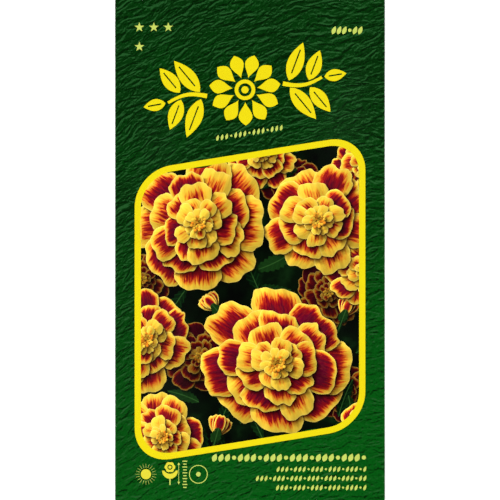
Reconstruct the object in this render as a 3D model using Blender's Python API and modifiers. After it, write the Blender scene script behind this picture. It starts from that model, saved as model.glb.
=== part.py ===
"""A sealed paper seed packet that lies on its back, with the sachet of seeds that it holds.

Metres, +Z up. The origin is on the surface that the packet lies on, under its middle.
+Y points to the packet's top edge and +Z out of its printed front.
"""

import math
import random

import bmesh
import bpy
from mathutils import Vector

# Packet, as it measures when sealed
PACKET_WIDTH = 0.086
PACKET_HEIGHT = 0.160
PAPER = 0.00015
GLUED_STEP = 0.00022  # from one glued layer of paper to the next
SIDE_FOLD_RADIUS = 0.00025  # at the middle of the paper
BULGE = 0.0027  # how far the contents lift the front panel
SIDE_SLOPE = 0.030  # from a side fold to where the front is level
END_SLOPE = 0.045

# Wings and flaps on the back
LAP_HALF = 0.006  # the wings overlap by twice this
FLAP_DEPTH = 0.017
FLAP_TAPER = 0.10  # share of its half width that a flap loses towards its free edge
STEP_DOWN = 0.005  # length over which a layer comes down past another's edge
STEP_CLEAR = 0.001
WING_END_CLEAR = 0.0004
FLAP_SIDE_CLEAR = 0.0008

# Sachet
SACHET_WIDTH = 0.060
SACHET_HEIGHT = 0.092
FILM = 0.0001
FILM_STEP = 0.00024  # from one film to the other inside a seal
SIDE_SEAL = 0.005
TOP_SEAL = 0.008
POCKET_RISE = 0.0015
POCKET_SLOPE = 0.006

# Seeds
SEED_COUNT = 40
SEED_LENGTH = 0.0092
SEED_THICKNESS = 0.00095
SEED_CLEARANCE = 0.0018  # between the middle lines of two seeds
SEED_SIDES = 6
SEED_RINGS = 8
SEED_DRAW = 11

CLEARANCE = 0.0003  # between two pieces that touch
FOLD_SEGMENTS = 4

END_FOLD_RADIUS = SIDE_FOLD_RADIUS + GLUED_STEP / 2
FRONT_HALF_WIDTH = PACKET_WIDTH / 2 - SIDE_FOLD_RADIUS - PAPER / 2
FRONT_HALF_HEIGHT = PACKET_HEIGHT / 2 - END_FOLD_RADIUS - PAPER / 2
FLAP_EDGE = PACKET_HEIGHT / 2 - FLAP_DEPTH
POCKET_FLOOR = PAPER + GLUED_STEP + CLEARANCE  # underside of the sachet
SEED_FLOOR = POCKET_FLOOR + FILM + CLEARANCE


def smooth(value):
    """0 up to 0, 1 from 1 on, and an even S between them."""
    value = min(max(value, 0.0), 1.0)
    return value * value * (3 - 2 * value)


def steps(start, end, count):
    """Evenly spaced values from start to end, both included."""
    return [start + (end - start) * i / count for i in range(count + 1)]


def make_material(name, color, roughness):
    material = bpy.data.materials.new(name)
    material.use_nodes = True
    shader = material.node_tree.nodes["Principled BSDF"]
    shader.inputs["Base Color"].default_value = (*color, 1)
    shader.inputs["Roughness"].default_value = roughness
    shader.inputs["Metallic"].default_value = 0
    material.diffuse_color = (*color, 1)
    return material


def add_grid(work, columns, rows, place):
    """One panel of a sheet: a grid whose lines lie at these columns and rows, each point put by place."""
    made = bmesh.ops.create_grid(work, x_segments=len(columns) - 1, y_segments=len(rows) - 1, size=1)
    for index, point in enumerate(made["verts"]):
        column = columns[index % len(columns)]
        row = rows[index // len(columns)]
        point.co = Vector(place(column, row))


def sheet_object(name, work, thickness, material, collection):
    """Weld the panels along their folds and give the sheet its thickness."""
    bmesh.ops.remove_doubles(work, verts=work.verts, dist=1e-6)
    bmesh.ops.recalc_face_normals(work, faces=work.faces)
    mesh = bpy.data.meshes.new(name)
    work.to_mesh(mesh)
    work.free()
    mesh.materials.append(material)
    mesh.shade_smooth()
    sheet = bpy.data.objects.new(name, mesh)
    collection.objects.link(sheet)
    solidify = sheet.modifiers.new("thickness", "SOLIDIFY")
    solidify.thickness = thickness
    solidify.offset = 0
    return sheet


# Heights of the packet's layers, at the middle of the paper


def wing_height(y):
    """The wings lie on the surface, and one layer up where a flap is under them."""
    past = (abs(y) - (FLAP_EDGE - STEP_CLEAR - STEP_DOWN)) / STEP_DOWN
    return PAPER / 2 + GLUED_STEP * smooth(past)


def inner_wing_height(x, y):
    """The left wing climbs onto the free edge of the right one."""
    past = (x + LAP_HALF + STEP_CLEAR + STEP_DOWN) / STEP_DOWN
    return wing_height(y) + GLUED_STEP * smooth(past)


def front_height(x, y):
    across = smooth((FRONT_HALF_WIDTH - abs(x)) / SIDE_SLOPE)
    along = smooth((FRONT_HALF_HEIGHT - abs(y)) / END_SLOPE)
    return wing_height(y) + 2 * SIDE_FOLD_RADIUS + BULGE * across * along


def front_point(x, y):
    return x, y, front_height(x, y)


def side_fold_point(side, angle, y):
    """Round a side fold, from the front at angle 0 to the back at pi."""
    x = side * (FRONT_HALF_WIDTH + SIDE_FOLD_RADIUS * math.sin(angle))
    return x, y, wing_height(y) + SIDE_FOLD_RADIUS * (1 + math.cos(angle))


def end_fold_point(end, angle, x):
    """Round the top or bottom fold, from the front at angle 0 to the flap at pi."""
    y = end * (FRONT_HALF_HEIGHT + END_FOLD_RADIUS * math.sin(angle))
    return x, y, PAPER / 2 + END_FOLD_RADIUS * (1 + math.cos(angle))


def flap_point(end, x, y):
    """A flap lies on the surface, outermost, and narrows towards its free edge."""
    share = (FRONT_HALF_HEIGHT - abs(y)) / (FRONT_HALF_HEIGHT - FLAP_EDGE)
    return x * (1 - FLAP_TAPER * share), end * abs(y), PAPER / 2


def packet_columns():
    """Lines across the front, with one at each side of where the flaps begin."""
    flap_half = FRONT_HALF_WIDTH - FLAP_SIDE_CLEAR
    return [-FRONT_HALF_WIDTH, *steps(-flap_half, flap_half, 16), FRONT_HALF_WIDTH]


def packet_rows():
    """Lines up the front, closer where the layers step up over the flaps."""
    step_start = FLAP_EDGE - STEP_CLEAR - STEP_DOWN
    half = [
        *steps(0, step_start, 7),
        *steps(step_start, step_start + STEP_DOWN, 2)[1:],
        *steps(step_start + STEP_DOWN, FRONT_HALF_HEIGHT - WING_END_CLEAR, 2)[1:],
        FRONT_HALF_HEIGHT,
    ]
    return [-row for row in reversed(half[1:])] + half


def make_packet_sheet(material, collection):
    """One cross-shaped sheet: front, two wings that lap on the back, and two glued flaps."""
    work = bmesh.new()
    columns = packet_columns()
    rows = packet_rows()
    wing_rows = rows[1:-1]
    flap_columns = columns[1:-1]
    turn = steps(0, math.pi, FOLD_SEGMENTS)
    add_grid(work, columns, rows, front_point)

    for side in (-1, 1):
        add_grid(work, turn, wing_rows, lambda angle, y, side=side: side_fold_point(side, angle, y))
    outer = steps(FRONT_HALF_WIDTH, -LAP_HALF, 3)
    add_grid(work, outer, wing_rows, lambda x, y: (x, y, wing_height(y)))
    climb_start = -LAP_HALF - STEP_CLEAR - STEP_DOWN
    inner = [
        *steps(-FRONT_HALF_WIDTH, climb_start, 2),
        *steps(climb_start, climb_start + STEP_DOWN, 2)[1:],
        LAP_HALF,
    ]
    add_grid(work, inner, wing_rows, lambda x, y: (x, y, inner_wing_height(x, y)))

    for end in (-1, 1):
        add_grid(work, flap_columns, turn, lambda x, angle, end=end: end_fold_point(end, angle, x))
        flap_rows = steps(FRONT_HALF_HEIGHT, FLAP_EDGE, 2)
        add_grid(work, flap_columns, flap_rows, lambda x, y, end=end: flap_point(end, x, y))
    return sheet_object("packet_sheet", work, PAPER, material, collection)


def sachet_swell(x, y):
    """How full the pocket is here, from 0 in the seals to 1."""
    across = smooth((SACHET_WIDTH / 2 - SIDE_SEAL - abs(x)) / POCKET_SLOPE)
    from_top = smooth((SACHET_HEIGHT / 2 - TOP_SEAL - y) / POCKET_SLOPE)
    from_foot = smooth((SACHET_HEIGHT / 2 + y) / POCKET_SLOPE)
    return across * from_top * from_foot


def make_sachet(material, collection):
    """One strip of film, folded at its foot, whose two layers meet in the seals."""
    work = bmesh.new()
    back_height = POCKET_FLOOR + FILM / 2
    fold_radius = FILM_STEP / 2
    foot = -SACHET_HEIGHT / 2
    slope_end = SACHET_WIDTH / 2 - SIDE_SEAL
    half = [*steps(0, slope_end - POCKET_SLOPE, 3), *steps(slope_end - POCKET_SLOPE, slope_end, 3)[1:]]
    half.append(SACHET_WIDTH / 2)
    columns = [-column for column in reversed(half[1:])] + half
    top_slope = SACHET_HEIGHT / 2 - TOP_SEAL
    rows = [
        *steps(foot, foot + POCKET_SLOPE, 3),
        *steps(foot + POCKET_SLOPE, top_slope - POCKET_SLOPE, 5)[1:],
        *steps(top_slope - POCKET_SLOPE, top_slope, 3)[1:],
        SACHET_HEIGHT / 2,
    ]

    def front(x, y):
        return x, y, back_height + FILM_STEP + POCKET_RISE * sachet_swell(x, y)

    def fold(x, angle):
        return x, foot - fold_radius * math.sin(angle), back_height + fold_radius * (1 + math.cos(angle))

    add_grid(work, columns, rows, front)
    add_grid(work, columns, steps(0, math.pi, FOLD_SEGMENTS), fold)
    add_grid(work, columns, [foot, 0, SACHET_HEIGHT / 2], lambda x, y: (x, y, back_height))
    return sheet_object("sachet", work, FILM, material, collection)


def gap_between(first, second):
    """The shortest distance between two seeds' middle lines, each (x, y, angle)."""
    nearest = 1.0
    for one, other in ((first, second), (second, first)):
        for share in steps(-0.5, 0.5, 8):
            x = one[0] + share * SEED_LENGTH * math.cos(one[2])
            y = one[1] + share * SEED_LENGTH * math.sin(one[2])
            along = (x - other[0]) * math.cos(other[2]) + (y - other[1]) * math.sin(other[2])
            along = min(max(along, -SEED_LENGTH / 2), SEED_LENGTH / 2)
            reach_x = x - other[0] - along * math.cos(other[2])
            reach_y = y - other[1] - along * math.sin(other[2])
            nearest = min(nearest, math.hypot(reach_x, reach_y))
    return nearest


def seed_places():
    """Seeds strewn at random over the level part of the pocket, none touching another."""
    draw = random.Random(SEED_DRAW)
    reach_x = SACHET_WIDTH / 2 - SIDE_SEAL - POCKET_SLOPE
    low_y = -SACHET_HEIGHT / 2 + POCKET_SLOPE
    high_y = SACHET_HEIGHT / 2 - TOP_SEAL - POCKET_SLOPE
    places = []
    while len(places) < SEED_COUNT:
        angle = draw.uniform(0, 2 * math.pi)
        side = abs(math.cos(angle)) * SEED_LENGTH / 2
        rise = abs(math.sin(angle)) * SEED_LENGTH / 2
        x = draw.uniform(-reach_x + side, reach_x - side)
        y = draw.uniform(low_y + rise, high_y - rise)
        place = (x, y, angle)
        if all(gap_between(place, other) > SEED_CLEARANCE for other in places):
            places.append(place)
    return places


def seed_half_thickness(share):
    """A slim spindle, fullest past its middle, with a narrow tuft at its far end."""
    body = math.sin(math.pi * min(share / 0.78, 1.0) ** 0.8)
    tuft = 0.42 * smooth((share - 0.6) / 0.15)
    return SEED_THICKNESS / 2 * max(0.16, body, tuft)


def make_seed_profile(material):
    """The seed's outline, down its outer side from the tuft's end to the base."""
    points = [(0, 0, SEED_LENGTH / 2)]
    for share in steps(1, 0, SEED_RINGS):
        points.append((seed_half_thickness(share), 0, (share - 0.5) * SEED_LENGTH))
    points.append((0, 0, -SEED_LENGTH / 2))
    mesh = bpy.data.meshes.new("seed_profile")
    mesh.from_pydata(points, [(i, i + 1) for i in range(len(points) - 1)], [])
    mesh.materials.append(material)
    return mesh


def make_seeds(material, collection):
    """Each seed is its outline turned about its length and laid flat."""
    mesh = make_seed_profile(material)
    for number, (x, y, angle) in enumerate(seed_places(), start=1):
        seed = bpy.data.objects.new(f"seed_{number:02d}", mesh)
        seed.location = (x, y, SEED_FLOOR + SEED_THICKNESS / 2)
        seed.rotation_euler = (0, math.pi / 2, angle)
        collection.objects.link(seed)
        turn = seed.modifiers.new("turn", "SCREW")
        turn.steps = SEED_SIDES
        turn.render_steps = SEED_SIDES
        turn.use_merge_vertices = True
        turn.merge_threshold = 0.000001
        turn.use_smooth_shade = True


def main():
    for old in list(bpy.data.objects):
        bpy.data.objects.remove(old, do_unlink=True)
    collection = bpy.data.collections.new("seed_packet")
    bpy.context.scene.collection.children.link(collection)
    make_packet_sheet(make_material("printed_paper", (0.02, 0.12, 0.045), 0.42), collection)
    make_sachet(make_material("sachet_paper", (0.80, 0.78, 0.72), 0.5), collection)
    make_seeds(make_material("seed_coat", (0.03, 0.024, 0.02), 0.7), collection)


main()
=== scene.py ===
import math

import bmesh
import bpy
import numpy as np
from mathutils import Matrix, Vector
from mathutils.geometry import delaunay_2d_cdt


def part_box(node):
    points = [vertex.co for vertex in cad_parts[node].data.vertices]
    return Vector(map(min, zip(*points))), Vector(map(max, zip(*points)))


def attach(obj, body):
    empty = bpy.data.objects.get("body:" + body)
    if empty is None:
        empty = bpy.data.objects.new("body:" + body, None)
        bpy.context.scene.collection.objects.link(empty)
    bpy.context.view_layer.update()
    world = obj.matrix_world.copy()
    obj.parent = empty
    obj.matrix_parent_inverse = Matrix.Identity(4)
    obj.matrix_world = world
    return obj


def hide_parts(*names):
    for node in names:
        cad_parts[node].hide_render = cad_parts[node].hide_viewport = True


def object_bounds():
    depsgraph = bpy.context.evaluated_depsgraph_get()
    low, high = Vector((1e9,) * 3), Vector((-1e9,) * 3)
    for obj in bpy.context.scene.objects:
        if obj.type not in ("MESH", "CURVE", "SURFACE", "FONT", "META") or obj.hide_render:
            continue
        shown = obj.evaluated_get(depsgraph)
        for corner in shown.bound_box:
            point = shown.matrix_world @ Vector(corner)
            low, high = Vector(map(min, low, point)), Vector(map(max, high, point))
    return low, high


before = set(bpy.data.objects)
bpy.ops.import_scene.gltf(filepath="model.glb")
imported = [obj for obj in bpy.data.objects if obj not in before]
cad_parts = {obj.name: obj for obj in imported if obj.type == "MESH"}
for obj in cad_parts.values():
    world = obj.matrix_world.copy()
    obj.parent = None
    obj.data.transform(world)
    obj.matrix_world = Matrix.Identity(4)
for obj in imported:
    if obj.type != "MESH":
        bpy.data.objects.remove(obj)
cadLow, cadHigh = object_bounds()
print("frame loaded:", len(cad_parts), "nodes")

mm = 0.001

# The packet's paper and folds, in millimetres: as in the solids, but with closer flaps and wing ends
sheetLow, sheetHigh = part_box("packet_sheet")
packet = {
    "width": (sheetHigh[0] - sheetLow[0]) / mm,
    "height": (sheetHigh[1] - sheetLow[1]) / mm,
    "paper": 0.15,
    "gluedStep": 0.22,
    "foldRadius": 0.25,
    "bulge": 2.7,
    "sideSlope": 30.0,
    "endSlope": 45.0,
    "lapHalf": 6.0,
    "flapDepth": 17.0,
    "flapTaper": 0.10,
    "stepDown": 5.0,
    "stepClear": 1.0,
    "wingEndClear": 0.15,
    "flapSideClear": 0.1,
    "gridStep": 1.3,
    "foldStep": math.pi / 8,  # from one line to the next round a fold
    "insideMap": 0.05,  # how small the map of the unprinted side is beside the printed side's
    "crispFrom": 40.0,  # degrees: the cut edges stay crisp, the folds smooth
}
paper = packet["paper"]
foldRadius = packet["foldRadius"]
endRadius = foldRadius + packet["gluedStep"] / 2
halfWide = packet["width"] / 2 - foldRadius - paper / 2
halfHigh = packet["height"] / 2 - endRadius - paper / 2
flapEdge = packet["height"] / 2 - packet["flapDepth"]
lapEdge = -packet["lapHalf"]  # the free edge of the outer wing
stepStart = flapEdge - packet["stepClear"] - packet["stepDown"]  # the wings climb onto a flap from here
climbStart = lapEdge - packet["stepClear"] - packet["stepDown"]  # the inner wing climbs the outer one


def smooth(value):
    # 0 up to 0, 1 from 1 on, with an even S between them
    value = np.clip(value, 0.0, 1.0)
    return value * value * (3 - 2 * value)


def added(name, data):
    piece = bpy.data.objects.new(name, data)
    bpy.context.scene.collection.objects.link(piece)
    return piece


class Nodes:
    # A short way to write the nodes of a new material or of the world. Most calls return an output
    def __init__(self, block):
        self.block = bpy.data.materials.new(block) if isinstance(block, str) else block
        self.block.use_nodes = True
        self.tree = self.block.node_tree
        self.shader = self.tree.nodes.get("Principled BSDF") or self.tree.nodes["Background"]

    def feed(self, socket, value):
        if isinstance(value, bpy.types.NodeSocket):
            self.tree.links.new(value, socket)
        elif isinstance(value, tuple) and socket.type == "RGBA":
            socket.default_value = (*value, 1)
        else:
            socket.default_value = value

    def node(self, kind, inputs=(), output=0, **settings):
        # What goes into the inputs is given in order, or by their names or numbers
        made = self.tree.nodes.new(kind)
        for key, value in settings.items():
            setattr(made, key, value)
        for key, value in inputs.items() if isinstance(inputs, dict) else enumerate(inputs):
            self.feed(made.inputs[key], value)
        return made.outputs[output]

    def math(self, operation, *values):
        return self.node("ShaderNodeMath", values, operation=operation)

    def scaled(self, where, scale):
        scale = scale if isinstance(scale, tuple) else (scale,) * 3
        return self.node("ShaderNodeVectorMath", (where, scale), operation="MULTIPLY")

    def place(self):
        # Place in the packet's own space, in millimetres
        return self.scaled(self.node("ShaderNodeTexCoord", output="Object"), 1 / mm)

    def parts(self, value, kind="XYZ"):
        # The three parts of a place, or with kind Color of a colour
        return tuple(self.node(f"ShaderNodeSeparate{kind}", (value,)).node.outputs)

    def noise(self, where, scale, detail=2.0, roughness=0.5, distortion=0.0):
        inputs = {"Vector": self.scaled(where, scale), "Scale": 1.0, "Detail": detail,
                  "Roughness": roughness, "Distortion": distortion}
        return self.node("ShaderNodeTexNoise", inputs)

    def read(self, name, output="Fac"):
        return self.node("ShaderNodeAttribute", output=output, attribute_name=name)

    def spread(self, value, low, high, toLow=0.0, toHigh=1.0):
        inputs = (value, low, high, toLow, toHigh)
        return self.node("ShaderNodeMapRange", inputs, interpolation_type="SMOOTHSTEP")

    def ramp(self, value, stops):
        made = self.node("ShaderNodeValToRGB", (value,)).node
        band = made.color_ramp
        while len(band.elements) < len(stops):
            band.elements.new(1.0)
        for element, (place, colour) in zip(band.elements, stops):
            element.position = place
            element.color = (*colour, 1)
        return made.outputs[0]

    def mix(self, share, first, second, blend="MIX"):
        inputs = {0: share, 6: first, 7: second}
        return self.node("ShaderNodeMix", inputs, 2, data_type="RGBA", blend_type=blend)

    def coated(self, colour, *coats):
        # Each coat is laid where a value runs from low to high, up to a share of its own colour
        for value, low, high, most, coat in coats:
            colour = self.mix(self.spread(value, low, high, 0.0, most), colour, coat)
        return colour

    def lit(self, colour, *lights):
        # A colour times each of these brightnesses or tints
        for light in lights:
            colour = self.mix(1.0, colour, light, "MULTIPLY")
        return colour

    def bump(self, height, strength, distance):
        inputs = {"Height": height, "Strength": strength, "Distance": distance * mm}
        return self.node("ShaderNodeBump", inputs)

    def done(self, colour, roughness=0.32, normal=None, specular=0.08):
        values = {"Base Color": colour, "Roughness": roughness, "Specular IOR Level": specular}
        if normal is not None:
            values["Normal"] = normal
        for name, value in values.items():
            self.feed(self.shader.inputs[name], value)
        return self.block


# Camera, light and floor

stage = {
    "lens": 135.0,
    "sensor": 36.0,
    "cropped": 0.6 * mm,  # of the packet's height, so that both ends meet the edge of the frame
    "floorSize": 1.1,
    "floorDrop": 0.06 * mm,  # from the packet's lowest point
    "floorColour": (0.86, 0.86, 0.85),
    "floorGlow": 0.45,  # keeps the floor white right up to the packet
    "lamps": (  # name, place, width and power, clear of the way that the print mirrors
        ("leftLamp", (-0.95, -0.55, 0.72), 1.3, 20.0),
        ("rightLamp", (1.00, 0.50, 0.70), 1.4, 17.5),
    ),
    "sky": (  # brightness from the horizon, at 0, to overhead, at 1
        (0.25, (1.25, 1.25, 1.25)),
        (0.72, (0.02, 0.02, 0.02)),
    ),
}


def makeCamera():
    # Straight over the packet, far enough for the frame to take its whole height
    data = bpy.data.cameras.new("camera")
    data.lens = stage["lens"]
    data.sensor_width = stage["sensor"]
    data.clip_start = 0.01
    distance = (cadHigh[1] - cadLow[1] - stage["cropped"]) * stage["lens"] / stage["sensor"]
    camera = added("camera", data)
    camera.location = (0, (cadLow[1] + cadHigh[1]) / 2, distance + foldRadius * 2 * mm)
    bpy.context.scene.camera = camera


def makeLight():
    # Two soft lamps low at the sides and a sky that is darkest overhead, so the print shows no glare
    for name, place, size, power in stage["lamps"]:
        data = bpy.data.lights.new(name, "AREA")
        data.shape = "DISK"
        data.size = size
        data.energy = power
        lamp = added(name, data)
        lamp.location = place
        lamp.rotation_euler = (-Vector(place)).to_track_quat("-Z", "Y").to_euler()
    bpy.context.scene.world = bpy.data.worlds.new("studio")
    n = Nodes(bpy.context.scene.world)
    height = n.parts(n.node("ShaderNodeTexCoord", output="Generated"))[2]
    n.feed(n.shader.inputs["Color"], n.ramp(height, stage["sky"]))
    bpy.context.scene.view_settings.view_transform = "Standard"


def makeFloor():
    bpy.ops.mesh.primitive_plane_add(size=stage["floorSize"], location=(0, 0, cadLow[2] - stage["floorDrop"]))
    floor = bpy.context.object
    floor.name = "floor"
    n = Nodes("paleFloor")
    n.feed(n.shader.inputs["Emission Color"], (1.0, 1.0, 1.0))
    n.feed(n.shader.inputs["Emission Strength"], stage["floorGlow"])
    floor.data.materials.append(n.done(stage["floorColour"], 0.9, specular=0.5))


makeCamera()
makeLight()
makeFloor()
print("camera, light and floor ready")

# The packet's paper: green print outside, bare inside and at the cut edges

groundPrint = {
    "darkGreen": (0.0006, 0.0240, 0.0014),
    "brightGreen": (0.0006, 0.0760, 0.0040),
    "crest": (0.0150, 0.0850, 0.0190),
    "trough": (0.0000, 0.0080, 0.0001),
    "climb": 0.38,  # how steeply the ripples climb to the right in the middle
    "level": 0.0026,  # how much of that climb each millimetre to the right takes away
    "rippleAcross": 0.54,  # ripples a millimetre, across them
    "rippleAlong": 0.20,
    "litSide": 0.25,  # of a ripple, from a point to the one whose height is set against its own
    "wander": 7.0,  # how far ripples stray from their way
    "calm": (-40.0, 85.0),  # they calm down between these, measured down the front and to the right
    "depth": (0.96, 0.56),  # of the ripples, before and after that
}
barePaper = {
    "shade": (0.74, 0.72, 0.66),
    "fibre": (0.82, 0.80, 0.75),
    "fleck": (0.62, 0.58, 0.50),
    "turn": 12.0,  # degrees, of the fibres' way
}


def makeGroundMaterial():
    # Dark green coated print with slanting ripples, lighter and calmer towards the foot
    g = groundPrint
    n = Nodes("greenPrint")
    where = n.place()
    x, y, _ = n.parts(where)
    bend = n.math("MULTIPLY", n.math("SUBTRACT", n.noise(where, 0.05, 1.0), 0.5), g["wander"])
    slope = n.math("SUBTRACT", g["climb"], n.math("MULTIPLY", x, g["level"]))
    along = n.math("ADD", x, n.math("MULTIPLY", y, g["climb"]))
    along = n.math("MULTIPLY", along, g["rippleAlong"])
    across = n.math("SUBTRACT", n.math("ADD", y, bend), n.math("MULTIPLY", x, slope))
    across = n.math("MULTIPLY", across, g["rippleAcross"])
    heights = []
    for side in (across, n.math("ADD", across, g["litSide"])):
        heights.append(n.noise(n.node("ShaderNodeCombineXYZ", (along, side)), 1.0, 4.0, 0.60, 0.9))
    calm = n.spread(n.math("SUBTRACT", n.math("MULTIPLY", x, 0.45), y), *g["calm"])
    relief = n.math("MULTIPLY", n.math("SUBTRACT", *heights), n.spread(calm, 0.0, 1.0, *g["depth"]))
    grain = n.noise(where, 1.6, 3.0, 0.6)
    colour = n.coated(
        n.mix(calm, g["darkGreen"], g["brightGreen"]),
        (n.noise(where, 0.06, 3.0), 0.35, 0.75, 0.22, g["brightGreen"]),
        (relief, 0.020, 0.110, 0.90, g["crest"]),
        (relief, -0.010, -0.095, 0.90, g["trough"]),
        (grain, 0.48, 0.72, 0.40, g["trough"]),
        (grain, 0.46, 0.28, 0.30, g["crest"]),
    )
    return n.done(colour, n.spread(grain, 0.2, 0.8, 0.30, 0.38), n.bump(heights[0], 0.12, 0.2))


def makePaperMaterial():
    # Pale uncoated paper with fine fibres that run one way
    n = Nodes("barePaper")
    where = n.place()
    turned = n.node("ShaderNodeMapping", {
        "Vector": where, "Rotation": (0.0, 0.0, -math.radians(barePaper["turn"])), "Scale": (0.9, 4.5, 1.0),
    })
    fibres = n.noise(turned, 1.0, 4.0, 0.6, 0.4)
    colour = n.coated(
        barePaper["shade"],
        (fibres, 0.3, 0.7, 1.0, barePaper["fibre"]),
        (n.noise(where, 2.2, 3.0), 0.6, 0.8, 0.25, barePaper["fleck"]),
    )
    return n.done(colour, 0.8, n.bump(fibres, 0.25, 0.05))


# Heights of the paper's layers, in millimetres, for numpy arrays of places

frontPaper = {
    "swell": 0.05,  # half the height of the soft waves over the contents
    "waves": (0.13, 0.085),  # radians a millimetre, across and along
    "starts": (0.6, 1.1),
    "fade": 8.0,  # over which waves and creases die out towards the folds
    "creases": (  # start, end, width and depth of the folds that the contents pull in the front
        ((-17, 33), (-36, 66), 2.6, 0.11),
        ((15, 36), (33, 70), 2.2, 0.09),
        ((-20, -38), (-37, -69), 2.4, 0.10),
        ((19, -36), (38, -63), 3.0, 0.12),
        ((4, 44), (9, 74), 2.8, 0.06),
        ((-28, 4), (-41, 9), 2.6, 0.07),
        ((27, -9), (41, -14), 2.4, 0.06),
    ),
}


def wingHeight(y):
    return paper / 2 + packet["gluedStep"] * smooth((np.abs(y) - stepStart) / packet["stepDown"])


def innerWingHeight(x, y):
    return wingHeight(y) + packet["gluedStep"] * smooth((x - climbStart) / packet["stepDown"])


def creaseDepth(x, y):
    total = np.zeros_like(x)
    for (x0, y0), (x1, y1), width, depth in frontPaper["creases"]:
        length = math.hypot(x1 - x0, y1 - y0)
        ux, uy = (x1 - x0) / length, (y1 - y0) / length
        along = ((x - x0) * ux + (y - y0) * uy) / length
        aside = (x - x0) * -uy + (y - y0) * ux
        total += depth * np.exp(-((aside / width) ** 2)) * smooth(along * 2) * smooth((1 - along) * 2)
    return total


def frontHeight(x, y):
    # The middle of the front panel's paper: flat at the folds, lifted over the contents
    fromSide, fromEnd = halfWide - np.abs(x), halfHigh - np.abs(y)
    lift = packet["bulge"] * smooth(fromSide / packet["sideSlope"]) * smooth(fromEnd / packet["endSlope"])
    across, along = (np.sin(at * wave + start) for at, wave, start in zip(
        (x, y), frontPaper["waves"], frontPaper["starts"]))
    swell = frontPaper["swell"] * (across * along - 1)
    fade = smooth(fromSide / frontPaper["fade"]) * smooth(fromEnd / frontPaper["fade"])
    return wingHeight(y) + 2 * foldRadius + lift + fade * (swell - creaseDepth(x, y))


# The packet's sheet. Each panel gives its points' places and where they are in the unfolded sheet


def frontPanel(x, y):
    return x, y, frontHeight(x, y), x, y


def sideFold(angle, y, side):
    # From the front, at angle 0, to the back
    x = side * (halfWide + foldRadius * np.sin(angle))
    height = wingHeight(y) + foldRadius * (1 + np.cos(angle))
    return x, y, height, side * (halfWide + foldRadius * angle), y


def cornerFold(way, angle, side, end):
    # Draws a side fold and an end fold together
    radius = foldRadius + (endRadius - foldRadius) * way / (math.pi / 2)
    across, along = np.cos(way), np.sin(way)
    x = side * (halfWide + radius * across * np.sin(angle))
    y = end * (halfHigh + radius * along * np.sin(angle))
    height = wingHeight(halfHigh) + 2 * foldRadius + radius * (np.cos(angle) - 1)
    arc = foldRadius * angle
    return x, y, height, side * (halfWide + arc * across), end * (halfHigh + arc * along)


def wing(x, y, side):
    height = wingHeight(y) if side > 0 else innerWingHeight(x, y)
    return x, y, height, side * (2 * halfWide + math.pi * foldRadius) - x, y


def endFold(x, angle, end):
    height = paper / 2 + endRadius * (1 + np.cos(angle))
    return x, end * (halfHigh + endRadius * np.sin(angle)), height, x, end * (halfHigh + endRadius * angle)


def flap(x, y, end):
    narrowed = x * (1 - packet["flapTaper"] * (halfHigh - y) / (halfHigh - flapEdge))
    return narrowed, end * y, paper / 2, x, end * (2 * halfHigh + math.pi * endRadius - y)


def linesBetween(start, end, most):
    count = max(1, math.ceil(abs(end - start) / most))
    return [start + (end - start) * i / count for i in range(count + 1)]


def addPanel(work, layer, panel, columns, rows, *sides):
    made = bmesh.ops.create_grid(work, x_segments=len(columns) - 1, y_segments=len(rows) - 1, size=1)
    column, row = np.meshgrid(columns, rows)
    values = [np.broadcast_to(value, column.shape).ravel() for value in panel(column, row, *sides)]
    points = np.stack(values[:3], 1) * mm
    longest = halfHigh + math.pi * endRadius + packet["flapDepth"] + 1
    spots = 0.5 + np.stack(values[3:], 1) / (2 * longest)
    order = {}
    for index, point in enumerate(made["verts"]):
        point.co = points[index]
        order[point] = index
    for face in {face for point in made["verts"] for face in point.link_faces}:
        for loop in face.loops:
            loop[layer].uv = spots[order[loop.vert]]


def foldSheet(work, layer):
    # A cross-shaped sheet: front, two wings that lap on the back, and two glued flaps,
    # with the folds drawn together at the corners
    step = packet["gridStep"]
    inner = halfWide - packet["flapSideClear"]
    columns = [-halfWide, *linesBetween(-inner, inner, step), halfWide]
    wingEnd = halfHigh - packet["wingEndClear"]
    half = [*linesBetween(0, stepStart, step), *linesBetween(stepStart, wingEnd, step)[1:], halfHigh]
    rows = [-row for row in reversed(half[1:])] + half
    climbEnd = climbStart + packet["stepDown"]
    climb = linesBetween(-halfWide, climbStart, 2 * step) + linesBetween(climbStart, climbEnd, step / 2)[1:]
    wings = {
        -1: climb + linesBetween(climbEnd, packet["lapHalf"], 2 * step)[1:],
        1: linesBetween(halfWide, lapEdge, 2 * step),
    }
    turn = linesBetween(0, math.pi, packet["foldStep"])
    quarter = linesBetween(0, math.pi / 2, packet["foldStep"])
    addPanel(work, layer, frontPanel, columns, rows)
    for side in (-1, 1):
        addPanel(work, layer, sideFold, turn, rows, side)
        for end in (-1, 1):
            addPanel(work, layer, cornerFold, quarter, turn, side, end)
        addPanel(work, layer, wing, wings[side], rows[1:-1], side)
    for end in (-1, 1):
        addPanel(work, layer, endFold, columns, turn, end)
        addPanel(work, layer, flap, columns[1:-1], linesBetween(halfHigh, flapEdge, 2 * step), end)


def tuckInside(mesh):
    # The map of the unprinted side goes small into a corner, clear of the printed side's
    layer = mesh.uv_layers["OFBake"]
    uv = np.empty(len(mesh.loops) * 2, np.float32)
    layer.uv.foreach_get("vector", uv)
    for face in mesh.polygons:
        if face.material_index:
            uv[2 * face.loop_start:2 * (face.loop_start + face.loop_total)] *= packet["insideMap"]
    layer.uv.foreach_set("vector", uv)


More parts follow.
